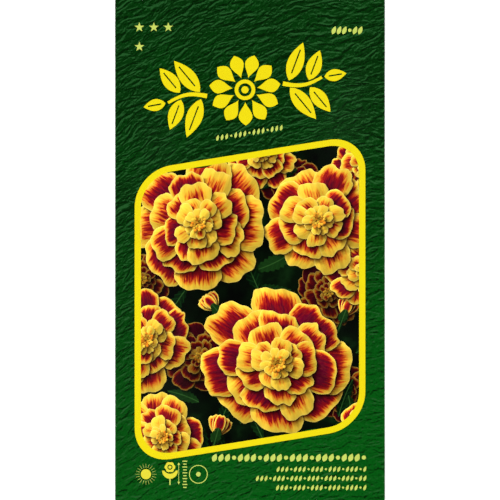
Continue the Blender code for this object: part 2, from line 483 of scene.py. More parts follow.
def makePacketSheet():
    work = bmesh.new()
    foldSheet(work, work.loops.layers.uv.new("OFBake"))
    bmesh.ops.remove_doubles(work, verts=work.verts, dist=1e-6)
    bmesh.ops.recalc_face_normals(work, faces=work.faces)
    highest = max(work.faces, key=lambda face: face.calc_center_median().z)
    if highest.normal.z < 0:
        bmesh.ops.reverse_faces(work, faces=work.faces)
    mesh = bpy.data.meshes.new("packetSheet")
    work.to_mesh(mesh)
    work.free()
    mesh.materials.append(makeGroundMaterial())
    mesh.materials.append(makePaperMaterial())
    mesh.shade_smooth()
    sheet = added("packetSheet", mesh)
    solidify = sheet.modifiers.new("thickness", "SOLIDIFY")
    solidify.thickness = paper * mm
    solidify.offset = 0
    solidify.material_offset = 1
    solidify.material_offset_rim = 1
    graph = bpy.context.evaluated_depsgraph_get()
    mesh = bpy.data.meshes.new_from_object(sheet.evaluated_get(graph), depsgraph=graph)
    sheet.modifiers.clear()
    sheet.data = mesh
    tuckInside(mesh)
    mesh.set_sharp_from_angle(angle=math.radians(packet["crispFrom"]))
    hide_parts("packet_sheet")
    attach(sheet, "root")
    print("packet sheet folded:", len(mesh.polygons), "faces")


makePacketSheet()

# Printed shapes: flat outlines laid on the front or the back as thin ink

skin = {
    "lift": 0.03,  # of the ink's face above the paper
    "root": 0.06,  # of its rim below the paper's face
    "lapGap": 0.12,  # left bare on each side of the edge where one wing laps over the other
    "crowding": 0.35,  # of a step: inner points keep this clear of an outline
    "slopeReach": 0.2,
}


def insideLoop(points, loop):
    # Which points lie inside a closed outline
    x, y = points[:, 0], points[:, 1]
    found = np.zeros(len(points), bool)
    x0, y0 = loop[-1]
    for x1, y1 in loop:
        crosses = (y1 > y) != (y0 > y)
        if crosses.any():
            slope = (x0 - x1) / (y0 - y1) if y0 != y1 else 0.0
            found ^= crosses & (x < slope * (y - y1) + x1)
        x0, y0 = x1, y1
    return found


def insideLoops(points, loops):
    # Which lie in the ink: inside an odd number of the outlines
    return sum(insideLoop(points, loop).astype(int) for loop in loops) % 2 == 1


def gridWithin(low, high, step):
    xs = np.arange(low[0] + step / 2, high[0], step)
    ys = np.arange(low[1] + step / 2, high[1], step)
    grid = np.stack(np.meshgrid(xs, ys), -1)
    grid[1::2, :, 0] += step / 2
    return grid.reshape(-1, 2)


def edgesRound(count):
    # The edges of a closed outline that has this many points
    here = np.arange(count)
    return np.column_stack([here, (here + 1) % count])


def flatShape(points, edges, isKept):
    # A flat mesh that holds every given edge, split where two of them cross, with its faces up
    pairs = [tuple(edge) for edge in np.concatenate(edges).tolist()]
    found = delaunay_2d_cdt([Vector(p) for p in points], pairs, [], 0, 1e-5)
    flat, faces = np.array([tuple(p) for p in found[0]]), np.array(found[2])
    faces = faces[isKept(flat[faces].mean(1))]
    (ax, ay), (bx, by), (cx, cy) = (flat[faces[:, i]].T for i in range(3))
    turned = (bx - ax) * (cy - ay) - (by - ay) * (cx - ax) < 0
    faces[turned] = faces[turned][:, ::-1]
    used = np.unique(faces)
    return flat[used], np.searchsorted(used, faces)


def outerHeight(x, y, back):
    # Height of the printed side, in millimetres: on top of the front, or under the wings and flaps
    if not back:
        return frontHeight(x, y) + paper / 2
    wings = np.where(x > lapEdge, wingHeight(y), innerWingHeight(x, y))
    return np.where(np.abs(y) > flapEdge, 0.0, wings - paper / 2)


def slopeNormals(flat, back):
    # The paper's own normals, so that neighbouring prints shade as one surface
    x, y = flat.T
    reach = skin["slopeReach"]
    run = (outerHeight(x + reach, y, back) - outerHeight(x - reach, y, back)) / (2 * reach)
    rise = (outerHeight(x, y + reach, back) - outerHeight(x, y - reach, back)) / (2 * reach)
    normals = np.column_stack([-run, -rise, np.ones(len(x))])
    normals /= np.linalg.norm(normals, axis=1)[:, None]
    return -normals if back else normals


def inkMesh(name, flat, faces, material, lift, back=False):
    # A skin of ink whose rim goes down into the paper
    down = 1 if back else -1
    points = np.column_stack([flat, outerHeight(*flat.T, back) - down * lift]) * mm
    faces = faces[:, ::-1] if back else faces
    sides = np.concatenate([faces[:, [0, 1]], faces[:, [1, 2]], faces[:, [2, 0]]])
    _, first, count = np.unique(np.sort(sides, axis=1), axis=0, return_index=True, return_counts=True)
    rim = sides[first[count == 1]]
    rimPoints = np.unique(rim)
    lower = points[rimPoints]
    lower[:, 2] += down * (lift + skin["root"]) * mm
    walls = np.column_stack([rim[:, ::-1], len(points) + np.searchsorted(rimPoints, rim)])
    mesh = bpy.data.meshes.new(name)
    mesh.from_pydata(np.concatenate([points, lower]).tolist(), [], faces.tolist() + walls.tolist())
    mesh.materials.append(material)
    mesh.shade_smooth()
    flat = np.concatenate([flat, flat[rimPoints]])
    spot = 0.004 + 0.992 * (flat - flat.min(0)) / np.ptp(flat, axis=0)
    corners = np.concatenate([faces.ravel(), walls.ravel()])
    mesh.uv_layers.new(name="OFBake").uv.foreach_set("vector", spot[corners].astype(np.float32).ravel())
    mesh.normals_split_custom_set_from_vertices(slopeNormals(flat, back).tolist())
    piece = added(name, mesh)
    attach(piece, "root")
    return piece


def finely(loop, most):
    # The same outline with its long sides split, so that it can follow the paper
    points = []
    for (x0, y0), (x1, y1) in zip(loop, [*loop[1:], loop[0]]):
        count = max(1, math.ceil(math.hypot(x1 - x0, y1 - y0) / most))
        points += [(x0 + (x1 - x0) * i / count, y0 + (y1 - y0) * i / count) for i in range(count)]
    return points


def printPiece(name, loops, material, step=0.8, lift=skin["lift"], back=False):
    # Ink in the shape of these outlines, each inner outline a hole
    loops = [finely(loop, step) for loop in loops]
    points = np.concatenate(loops)
    edges = []
    for loop in loops:
        edges.append(edgesRound(len(loop)) + sum(map(len, edges)))
    low, high = points.min(0), points.max(0)
    grid = gridWithin(low, high, step)
    grid = grid[insideLoops(grid, loops)]
    if len(grid):
        gap = np.min(np.linalg.norm(grid[:, None] - points[None], axis=2), axis=1)
        grid = grid[gap > step * skin["crowding"]]
    if back and low[0] < lapEdge < high[0]:
        # The print ends at the edge where one wing laps over the other
        for x in (lapEdge - skin["lapGap"], lapEdge + skin["lapGap"]):
            line = [(x, y) for y in linesBetween(low[1] - 1, high[1] + 1, step)]
            edges.append(edgesRound(len(line))[:-1] + len(points))
            points = np.concatenate([points, line])

    def isInk(places):
        inside = insideLoops(places, loops)
        return inside & (np.abs(places[:, 0] - lapEdge) > skin["lapGap"]) if back else inside

    inkMesh(name, *flatShape(np.concatenate([points, grid]), edges, isInk), material, lift, back)


def makeInk(name, colour, deeper):
    # Solid ink: even, with the faint mottle and dot grain of a litho print
    n = Nodes(name)
    where = n.place()
    mottle = n.noise(where, 0.35, 3.0, 0.6)
    grain = n.noise(where, 6.0, 1.0)
    shade = n.coated(colour, (mottle, 0.35, 0.75, 0.7, deeper), (grain, 0.5, 0.8, 0.15, deeper))
    return n.done(shade, n.spread(mottle, 0.2, 0.8, 0.34, 0.44), n.bump(grain, 0.05, 0.03))


yellowInk = makeInk("yellowInk", (0.735, 0.615, 0.005), (0.715, 0.575, 0.004))
lemonInk = makeInk("lemonInk", (0.67, 0.60, 0.038), (0.64, 0.54, 0.028))
paleInk = makeInk("paleYellowInk", (0.50, 0.59, 0.110), (0.43, 0.52, 0.085))
creamInk = makeInk("creamInk", (0.66, 0.62, 0.40), (0.62, 0.57, 0.34))
greenInk = makeInk("greenInk", (0.0040, 0.070, 0.0080), (0.0030, 0.055, 0.0060))
orangeInk = makeInk("orangeInk", (0.66, 0.18, 0.006), (0.60, 0.14, 0.005))

# Outlines that the prints are put together from


def around(centre, angle, reach):
    return centre[0] + reach * math.cos(angle), centre[1] + reach * math.sin(angle)


def spokes(count):
    return [2 * math.pi * i / count for i in range(count)]


def loopRound(centre, reaches, start=0.0):
    # Evenly spaced points round a centre, each with its own reach
    return [around(centre, start + angle, reach) for angle, reach in zip(spokes(len(reaches)), reaches)]


def discLoop(centre, radius, count=28):
    return loopRound(centre, [radius] * count)


def turnedLoop(points, centre, angle):
    # An outline drawn round the origin, turned and put in place
    c, s = math.cos(angle), math.sin(angle)
    return [(centre[0] + x * c - y * s, centre[1] + x * s + y * c) for x, y in points]


def mirroredEdge(along, half):
    # Out along one side and back along the other, like a leaf's edge
    return np.concatenate([np.column_stack([along, half]), np.column_stack([along, -half])[-2:0:-1]])


def leafLoop(base, angle, length, width, fullest=0.45, count=13):
    # A pointed leaf from its base outwards
    share = np.linspace(0, 1, count)
    half = width / 2 * np.sin(math.pi * share ** (math.log(0.5) / math.log(fullest))) ** 0.9
    half[0] = half[-1] = 0
    return turnedLoop(mirroredEdge(share * length, half), base, angle)


def barLoop(centre, angle, length, width):
    x, y = length / 2, width / 2
    return turnedLoop([(x, y), (-x, y), (-x, -y), (x, -y)], centre, angle)


def strokeLoop(points, widths):
    # An outline round a line of points, with a width at each
    way = np.gradient(points, axis=0)
    way /= np.linalg.norm(way, axis=1)[:, None]
    side = np.column_stack([-way[:, 1], way[:, 0]]) * widths[:, None] / 2
    return [tuple(p) for p in np.concatenate([points + side, (points - side)[::-1]])]


def roundedLoop(wide, high, radius, steps=8):
    # A rounded rectangle of this half width and half height
    points = []
    for quarter, (sx, sy) in enumerate(((1, 1), (-1, 1), (-1, -1), (1, -1))):
        middle = sx * (wide - radius), sy * (high - radius)
        points += [around(middle, math.pi / 2 * (quarter + i / steps), radius) for i in range(steps + 1)]
    return points


# The slanting picture frame and the stars

pictureFrame = {
    "halfWide": 36.75,
    "middleY": -15.75,
    "height": 93.45,
    "slant": 0.1615,
    "line": 2.0,
    "corner": 11.4,
    "cornerInset": 0.8,  # how much less the corner's radius is for each millimetre inwards
}
starRow = {
    "centres": ((-35.25, 70.95), (-30.63, 70.95), (-26.02, 70.95), (-35.25, 64.76)),
    "radius": 1.62,
    "waist": 0.40,  # of the radius
}


def slantedLoop(inset):
    # A rounded rectangle whose top and bottom climb to the right
    f = pictureFrame
    corner = f["corner"] - inset * f["cornerInset"]
    loop = roundedLoop(f["halfWide"] - inset, f["height"] / 2 - inset, corner, 14)
    return [(x, y + f["middleY"] + f["slant"] * x) for x, y in loop]


printPiece("yellowFrame", [slantedLoop(0), slantedLoop(pictureFrame["line"])], yellowInk, 1.2)
for number, centre in enumerate(starRow["centres"], start=1):
    points = loopRound(centre, [starRow["radius"], starRow["radius"] * starRow["waist"]] * 5, math.pi / 2)
    printPiece(f"star{number}", [points], paleInk)
print("frame and stars printed")

# The emblem: a plain daisy between two leafy branches

emblem = {
    "centre": (-1.6, 50.9),
    "tilt": 9.5,
    "petals": 11,
    "petalReach": (3.9, 11.4),
    "petalWidth": 4.4,
    "rings": (3.3, 2.1, 1.155),
    "branchStart": 12.2,
    "branchLength": 12.6,
    "branchBow": 1.5,
    "branchWidth": (1.45, 0.90),  # of the stem, at its start and at its end
    "leaves": ((0.11, 13.0, 5.2), (0.61, 10.2, 4.8)),  # of each pair: share along, length and width
    "leafAngle": 60.0,
    "leafGap": 1.3,  # from the middle of the stem to where a leaf starts
    "tipGap": 0.8,
    "tipSize": (0.7, 0.8),  # of the leaf at the tip, beside the last pair's length and width
    "ribs": ((0.62, 0.42), (0.60, 0.45)),  # share of the leaf's length and width, of pairs and tip
}


def daisyLoops(e):
    loops = [discLoop((0, 0), radius) for radius in e["rings"]]
    start, end = e["petalReach"]
    for angle in spokes(e["petals"]):
        loops.append(leafLoop(around((0, 0), angle, start), angle, end - start, e["petalWidth"], 0.62))
    return loops


def ribbedLeaf(foot, angle, length, width, ribShare, ribWidth):
    rib = barLoop(around(foot, angle, length / 2), angle, length * ribShare, ribWidth)
    return [leafLoop(foot, angle, length, width), rib]


def branchLoops(e, way):
    # A bowed stem with pairs of ribbed leaves that get smaller towards its end, and one at its tip
    share = np.linspace(0, 1, 15)
    x = way * (e["branchStart"] + e["branchLength"] * share)
    y = -way * e["branchBow"] * np.sin(math.pi * share)
    ahead = math.pi / 2 * (1 - way)
    rib, tipRib = e["ribs"]
    loops = [strokeLoop(np.column_stack([x, y]), np.interp(share, (0, 1), e["branchWidth"]))]
    for at, length, width in e["leaves"]:
        base = np.interp(at, share, x), np.interp(at, share, y)
        for side in (1, -1):
            angle = ahead + side * way * math.radians(e["leafAngle"])
            loops += ribbedLeaf(around(base, angle, e["leafGap"]), angle, length, width, *rib)
    tip = x[-1] + way * e["tipGap"], y[-1]
    longer, wider = e["tipSize"]
    return loops + ribbedLeaf(tip, ahead, length * longer, width * wider, *tipRib)


for name, loops in (
    ("emblemDaisy", daisyLoops(emblem)),
    ("emblemLeftBranch", branchLoops(emblem, -1)),
    ("emblemRightBranch", branchLoops(emblem, 1)),
):
    placed = [turnedLoop(loop, emblem["centre"], math.radians(emblem["tilt"])) for loop in loops]
    printPiece(name, placed, yellowInk, 1.2)

# Rows of tiny leaves and dots: start, end, height, leaf width and count

leafRows = {
    "topCorner": ((25.9, 70.0), (36.0, 70.0), 2.5, 1.35, 6),
    "underEmblem": ((-11.0, 35.45), (10.65, 38.93), 1.8, 0.84, 15),
    "title": ((-12.3, -66.12), (37.3, -66.12), 2.45, 1.62, 24),
    "first": ((8.3, -69.80), (37.3, -69.80), 1.75, 0.86, 21),
    "second": ((1.7, -72.73), (37.3, -72.73), 1.75, 0.86, 26),
    "third": ((8.1, -75.70), (37.3, -75.70), 1.75, 0.86, 21),
}
rowLeaf = {"lean": 68.0, "stretch": 1.04, "dot": 0.42}  # the dot's radius is this share of a leaf's width


def printRow(name, start, end, height, width, count, material=paleInk, back=False):
    # Leaning leaves, with a dot after every third
    way = math.atan2(end[1] - start[1], end[0] - start[0])
    run = math.hypot(end[0] - start[0], end[1] - start[1])
    lean = math.radians(rowLeaf["lean"])
    length = height / math.sin(lean) * rowLeaf["stretch"]
    loops = []
    for i in range(count):
        middle = around(start, way, run * (i + 0.5) / count)
        if i % 4 == 3:
            loops.append(discLoop(middle, width * rowLeaf["dot"], 12))
        else:
            foot = around(middle, way + lean, -length / 2)
            loops.append(leafLoop(foot, way + lean, length, width, count=9))
    printPiece(name, loops, material, 1.0, back=back)


for name, row in leafRows.items():
    printRow(f"{name}Row", *row)

# Growing signs: full sun, height of the plant, distance between plants

signs = {
    "sun": (-33.15, -71.42),
    "plant": (-25.5, -69.16),
    "arrow": (-22.7, -71.15),
    "ticks": (-20.75, -67.25),  # the highest of them
    "tickStep": 0.93,
    "tickWidths": (1.50, 1.05),
    "tickCount": 10,
    "tickLine": 0.34,
    "spacing": (-16.45, -71.43),
}


def sunLoops(centre):
    ray = [(0, 0.075), (0, -0.075), (1.30, -0.035), (1.30, 0.035)]
    return [turnedLoop(ray, around(centre, angle, 2.08), angle) for angle in spokes(20)]


def plantLoops(centre):
    # A lobed bloom over two leaves that spread like a bowl, and a stem
    x, y = centre
    lobes = [1.72 * (0.86 + 0.14 * abs(math.cos(3 * angle))) for angle in spokes(48)]
    bloom = [loopRound(centre, lobes), discLoop(centre, 0.84, 20), discLoop(centre, 0.50, 12)]
    wide, top, bottom, gap = 2.52, -1.1, -3.75, 2.14
    outer = [(x + wide * math.cos(angle), y + top + (bottom - top) * math.sin(angle))
             for angle in np.linspace(0, math.pi, 11)]
    reach = math.asin(-top / gap)
    inner = [around(centre, angle, gap) for angle in np.linspace(math.pi + reach, 2 * math.pi - reach, 11)]
    return [*bloom, outer + inner, barLoop((x, y - 4.75), math.pi / 2, 1.9, 0.40)]


def arrowLoop(centre, half, head=0.85, wide=0.42, shaft=0.08):
    # An upright line with a head at both ends
    neck = half - head
    right = [(0, half), (wide, neck), (shaft, neck), (shaft, -neck), (wide, -neck), (0, -half)]
    left = [(-x, y) for x, y in right[-2:0:-1]]
    return turnedLoop(right + left, centre, 0)


def spacingLoops(centre):
    return [discLoop(centre, 2.98, 48), discLoop(centre, 2.72, 48), discLoop(centre, 0.74, 20)]


def printSigns():
    *plant, stem = plantLoops(signs["plant"])
    x, top = signs["ticks"]
    ticks = []
    for i in range(signs["tickCount"]):
        middle = (x, top - signs["tickStep"] * i)
        ticks.append(barLoop(middle, 0, signs["tickWidths"][i % 2], signs["tickLine"]))
    for name, loops, material in (
        ("sunDisc", [discLoop(signs["sun"], 1.62)], lemonInk),
        ("sunRays", sunLoops(signs["sun"]), paleInk),
        ("plantSign", plant, lemonInk),
        ("plantStem", [stem], paleInk),
        ("heightArrow", [arrowLoop(signs["arrow"], 3.55)], paleInk),
        ("heightTicks", ticks, paleInk),
        ("spacingSign", spacingLoops(signs["spacing"]), paleInk),
    ):
        printPiece(name, loops, material)


printSigns()
print("emblem, rows and signs printed")

# The picture: generic garden flowers, drawn petal by petal in one flat layer

picture = {
    "draw": 21,
    "lift": 0.015,
    "grid": 1.5,
    "underFrame": 0.25,  # how far the picture goes under its frame
    "lightWay": (-0.62, 0.78),  # the light in the picture comes from the upper left
    "shadows": ((0.35, 0.34), (0.90, 0.30), (2.00, 0.26)),  # reach in millimetres and strength
    "rings": (  # petals, start, length and yellow edge, each as a share of the bloom or of the petal
        (8, 0.30, 0.72, 0.115),
        (8, 0.21, 0.56, 0.130),
        (7, 0.14, 0.41, 0.200),
        (7, 0.08, 0.28, 0.340),
        (9, 0.05, 0.17, 0.500),
    ),
    "blooms": (  # place, radius, rings, squash and the way it leans
        ((37.5, 27.5), 12.5, 4, 0.86, 0.4),
        ((3.0, 31.0), 12.5, 4, 0.86, 2.4),
        ((37.0, -6.5), 13.5, 4, 0.84, 0.2),
        ((-33.0, -28.5), 16.5, 4, 0.84, 1.3),
        ((-28.0, -59.5), 14.5, 4, 0.88, 1.9),
        ((36.5, -59.0), 13.0, 4, 0.86, 0.9),
        ((21.5, 9.5), 18.0, 4, 0.93, 0.5),
        ((-16.5, 8.5), 23.0, 5, 0.94, 1.1),
        ((8.5, -36.0), 25.0, 5, 0.92, 2.7),
    ),
    "deepBlooms": (  # the same, for blooms that lie lower down in the shade of the others
        ((-16.0, -34.0), 12.0, 4, 0.90, 0.7),
        ((25.0, -13.5), 11.5, 4, 0.88, 2.1),
        ((30.5, -46.0), 9.5, 4, 0.90, 1.6),
        ((13.0, 21.0), 9.5, 4, 0.92, 0.3),
        ((-34.0, -9.5), 9.5, 4, 0.90, 2.6),
    ),
    "deepShade": 0.58,
    "deepBand": 0.42,  # how narrow their yellow edges are beside the others'
    "buds": (  # place, size and the way it points
        ((-11.0, -18.5), 3.8, 2.3),
        ((30.0, -20.5), 3.6, 1.2),
        ((-10.5, -58.5), 4.2, 1.3),
    ),
    "leaves": 60,
    "leavesBelow": 46,  # how many of them lie under the deep blooms
    "ruffle": (0.020, 0.062),
    "bandSpread": (0.65, 1.60),  # how much the yellow edge differs from petal to petal
    "wideFrom": 14,  # radius from which a bloom's button has more florets, each smaller
}
rng = np.random.default_rng(picture["draw"])


def petalEdge(length, width, broadest, ruffle, tipPoints=27):
    # Up one side of a petal, round its softly notched tip and down the other side
    side = np.linspace(0.0, broadest, 6)[:-1]
    sideWidth = 0.20 + 0.80 * np.sin(side / broadest * math.pi / 2) ** 0.9
    turn = np.linspace(0, math.pi, tipPoints)
    along = broadest + (1 - broadest) * np.sin(turn) ** 0.85
    aside = np.sign(np.cos(turn)) * np.abs(np.cos(turn)) ** 0.9
    beat = rng.uniform(-0.5, 0.5)
    lobes = rng.integers(4, 8)
    sway = rng.uniform(-1.2, 1.2)
    wave = 0.45 * np.sin(turn * 11 + 3 * beat) - np.cos((turn - math.pi / 2) * lobes + beat)
    grow = 1 + ruffle * (wave + sway * np.cos(turn)) * np.sin(turn) ** 0.5
    along = broadest * 0.5 + (along - broadest * 0.5) * grow
    allAlong = np.concatenate([side, along, side[::-1]]) * length
    allAside = np.concatenate([sideWidth, aside * grow, -sideWidth[::-1]]) * width / 2
    return np.column_stack([allAlong, allAside])


def leafEdge(length, width, teeth=9):
    # A pointed leaf with a toothed edge
    share = np.linspace(0, 1, 2 * teeth + 1)
    half = width / 2 * np.sin(math.pi * share ** 0.85) ** 0.8
    half[1::2] *= 1.12
    half[2:-1:2] *= 0.84
    return mirroredEdge(share * length, half)


def turning(angle):
    c, s = math.cos(angle), math.sin(angle)
    return np.array([[c, -s], [s, c]])


class Shape:
    # One petal, leaf or floret, with its own along-and-aside coordinates
    def __init__(self, kind, centre, angle, start, edge, hue, lean=np.eye(2), bend=0.0, band=1.0):
        self.kind = kind
        self.centre = np.asarray(centre, float)
        self.matrix = lean @ turning(angle)
        self.start = start
        self.edge = edge
        self.hue = hue
        self.bend = bend
        self.band = band
        self.dim = 0.0
        self.length = edge[:, 0].max()
        self.half = np.abs(edge[:, 1]).max()
        self.outline = self.outside(edge)
        self.low, self.high = self.outline.min(0), self.outline.max(0)

    def outside(self, local):
        # From the shape's own coordinates to the picture's
        bent = local[:, 1] + self.bend * self.length * (local[:, 0] / self.length) ** 2
        return self.centre + np.column_stack([local[:, 0] + self.start, bent]) @ self.matrix.T

    def inside(self, points):
        # The other way round
        local = (points - self.centre) @ np.linalg.inv(self.matrix).T - (self.start, 0)
        local[:, 1] -= self.bend * self.length * (local[:, 0] / self.length) ** 2
        return local

    def rings(self):
        # Smaller copies of the outline, so that colours can change across the shape
        middle = np.array([self.length * 0.55, 0.0])
        if self.kind == "floret":
            return []
        found = [self.outside(middle + (self.edge[::2] - middle) * 0.78)]
        if self.length > 5:
            found.append(self.outside(middle + (self.edge[::3] - middle) * 0.45))
        return found

    def covers(self, points):
        near = ((points >= self.low) & (points <= self.high)).all(1)
        if near.any():
            near[near] = insideLoop(points[near], self.outline.tolist())
        return near


def drawLeaves(shapes):
    # Toothed leaves strewn between the blooms, low down
    f = pictureFrame
    for _ in range(picture["leaves"]):
        x = rng.uniform(-f["halfWide"], f["halfWide"])
        y = rng.uniform(-0.5, 0.5) * f["height"] + f["middleY"] + f["slant"] * x
        way = rng.uniform(0, 2 * math.pi)
        length = rng.uniform(9, 15)
        edge = leafEdge(length, length * rng.uniform(0.26, 0.36))
        bend = rng.uniform(-0.2, 0.2)
        shapes.append(Shape("leaf", (x, y), way, 0, edge, rng.uniform(), bend=bend))


def drawBloom(shapes, centre, radius, ringCount, squash, way):
    # Rings of petals from the widest to the innermost, then the button of florets.
    # Seen a little from the side, the bloom is flattened along one direction
    lean = turning(way) @ np.diag([1.0, squash]) @ turning(way).T
    turn = rng.uniform(0, 1)
    rings = picture["rings"][-ringCount:]
    grow = radius / (rings[0][1] + rings[0][2])
    for number, start, reach, bandShare in rings:
        petals = list(range(number))
        rng.shuffle(petals)
        for petal in petals:
            angle = turn + 2 * math.pi * (petal + rng.uniform(-0.20, 0.20)) / number
            length = grow * reach * rng.uniform(0.88, 1.08)
            width = 2 * math.pi * grow * (start + 0.66 * reach) / number * rng.uniform(1.05, 1.36)
            edge = petalEdge(length, width, rng.uniform(0.58, 0.70), rng.uniform(*picture["ruffle"]))
            bend = rng.uniform(-0.16, 0.16)
            band = bandShare * length * rng.uniform(*picture["bandSpread"])
            shapes.append(Shape("petal", centre, angle, start * grow, edge, rng.uniform(), lean, bend, band))
        turn += math.pi / number + rng.uniform(-0.1, 0.1)
    count, size = (30, grow * 0.021) if radius > picture["wideFrom"] else (18, grow * 0.026)
    edge = size * (np.array(discLoop((0, 0), 1, 7)) + (1, 0))
    for number in range(count):
        angle = number * math.pi * (3 - math.sqrt(5))  # as seeds are set in a flower's head
        reach = grow * 0.11 * math.sqrt((number + 0.5) / count)
        spot = centre + lean @ around((0, 0), angle, reach)
        shapes.append(Shape("floret", spot, angle, -size, edge, rng.uniform(), band=0.3))


def drawBud(shapes, centre, size, way):
    # A half-open bud: a fan of short petals out of a green cup
    for step in (-0.55, 0.5, -0.25, 0.2, 0.0):
        edge = petalEdge(size * rng.uniform(1.5, 1.8), size * 0.85, 0.6, 0.04, 11)
        hue = rng.uniform()
        shapes.append(Shape("petal", centre, way + step, -size * 0.2, edge, hue, band=size * 0.13))
    for step in (-0.35, 0.35, 0.0):
        edge = leafEdge(size * 1.25, size * 0.75, 4)
        shapes.append(Shape("leaf", centre, way + step, -size * 0.75, edge, 0.9))
    share = np.linspace(0, 1, 14)
    upper = np.column_stack([size * 2.8 * share, 0.35 + 0.15 * share])
    stem = np.concatenate([upper, (upper * (1, -1))[::-1]])
    shapes.append(Shape("leaf", centre, way, -size * 3.2, stem, 0.6))


def plannedShapes():
    # All shapes, from the lowest to the topmost
    shapes, deep = [], []
    drawLeaves(shapes)
    for bud in picture["buds"]:
        drawBud(shapes, *bud)
    for drawn, blooms in ((shapes, picture["blooms"]), (deep, picture["deepBlooms"])):
        for bloom in blooms:
            drawBloom(drawn, *bloom)
    for shape in deep:
        shape.dim = picture["deepShade"]
        shape.band *= picture["deepBand"]
    for number, shape in enumerate(shapes + deep):
        shape.grain = number * 7.3  # so that no two have the same streaks
    below = picture["leavesBelow"]
    return shapes[:below] + deep + shapes[below:]


def coveredAbove(points, owners, shapes):
    # Which points lie under a shape that is drawn later than their own
    found = np.zeros(len(points), bool)
    for order, shape in enumerate(shapes):
        below = ~found & (owners < order)
        if below.any():
            found[np.flatnonzero(below)[shape.covers(points[below])]] = True
    return found


def flatPicture(shapes):
    # The shapes' visible outlines cut each other into one flat layer of triangles
    window = slantedLoop(pictureFrame["line"] - picture["underFrame"])
    loops = []
    for order, shape in enumerate(shapes):
        loops += [(order, shape.outline, True)] + [(order, ring, False) for ring in shape.rings()]
    lengths = [len(loop) for _, loop, _ in loops]
    allPoints = np.concatenate([loop for _, loop, _ in loops])
    owners = np.repeat([order for order, _, _ in loops], lengths)
    gone = coveredAbove(allPoints, owners, shapes) | ~insideLoop(allPoints, window)
    points, edges = [np.array(window)], [edgesRound(len(window))]
    for (_, loop, isOutline), lost in zip(loops, np.split(gone, np.cumsum(lengths)[:-1])):
        if not isOutline:
            points.append(loop[~lost])
        elif not lost.all():
            kept = edgesRound(len(loop))[~(lost & np.roll(lost, -1))]
            edges.append(kept + sum(map(len, points)))
            points.append(loop)
    grid = gridWithin(points[0].min(0), points[0].max(0), picture["grid"])
    points.append(grid[insideLoop(grid, window)])
    return flatShape(np.concatenate(points), edges, lambda places: insideLoop(places, window))


def edgeDistance(points, edge):
    # How far each point is from a petal's outline, leaving out its base
    a, b = edge[2:-3], edge[3:-2]
    way = b - a
    share = ((points[:, None] - a) * way).sum(2) / np.maximum((way ** 2).sum(1), 1e-9)
    near = a + np.clip(share, 0, 1)[..., None] * way
    return np.linalg.norm(points[:, None] - near, axis=2).min(1)


def paintedCorners(corners, owners, shapes):
    # For every corner of every triangle: where it is on its shape, and the light that it gets
    spot = np.zeros((len(corners), 3))
    paint = np.zeros((len(corners), 4))
    paint[:, 0] = 1.0
    light = np.asarray(picture["lightWay"])
    for index, shape in enumerate(shapes):
        mine = np.flatnonzero(owners == index)
        if not len(mine):
            continue
        local = shape.inside(corners[mine])
        share, aside = (local / (shape.length, shape.half)).T
        away = edgeDistance(local, shape.edge) if shape.kind == "petal" else np.zeros(len(mine))
        toLight = np.linalg.solve(shape.matrix, light)
        toLight /= np.linalg.norm(toLight)
        slope = np.column_stack([0.75 - 1.5 * share, -0.9 * aside])
        spot[mine] = np.column_stack([local, np.full(len(mine), shape.grain)])
        brightness = 0.5 - 0.5 * (slope @ toLight)
        paint[mine] = np.column_stack([away / shape.band, brightness, np.full(len(mine), shape.hue), away])
    shadow = np.zeros(len(corners))
    for reach, strength in picture["shadows"]:
        shadow += strength * coveredAbove(corners + light * reach, owners, shapes)
    dim = np.array([shape.dim for shape in shapes] + [0.0])[owners]
    return spot, paint, 1 - (1 - shadow) * (1 - dim)


flowerPrint = {
    "petal": (  # from the edge inwards
        (0.00, (0.84, 0.60, 0.060)),
        (0.095, (0.84, 0.52, 0.036)),
        (0.165, (0.76, 0.23, 0.016)),
        (0.23, (0.50, 0.034, 0.006)),
        (0.29, (0.25, 0.002, 0.007)),
        (0.60, (0.094, 0.0005, 0.013)),
    ),
    "bandWidth": 4.4,  # of that whole run, in yellow edges
    "streak": (0.62, 0.10, 0.015),
    "rim": (0.90, 0.72, 0.20),
    "shadowTint": (0.35, 0.16, 0.20),
    "leaf": (0.0008, 0.0080, 0.0014),
    "leafVein": (0.004, 0.030, 0.005),
    "veins": 3.6,  # radians a millimetre
    "freshLeaf": (0.009, 0.046, 0.006),
    "leafRib": (0.025, 0.085, 0.016),
    "florets": ((1.0, 0.62, 0.05), (0.75, 0.20, 0.01)),
    "shade": (
        (0.35, (0.0002, 0.0006, 0.0002)),
        (0.60, (0.0008, 0.0040, 0.0008)),
        (0.80, (0.0035, 0.0190, 0.0035)),
    ),
}


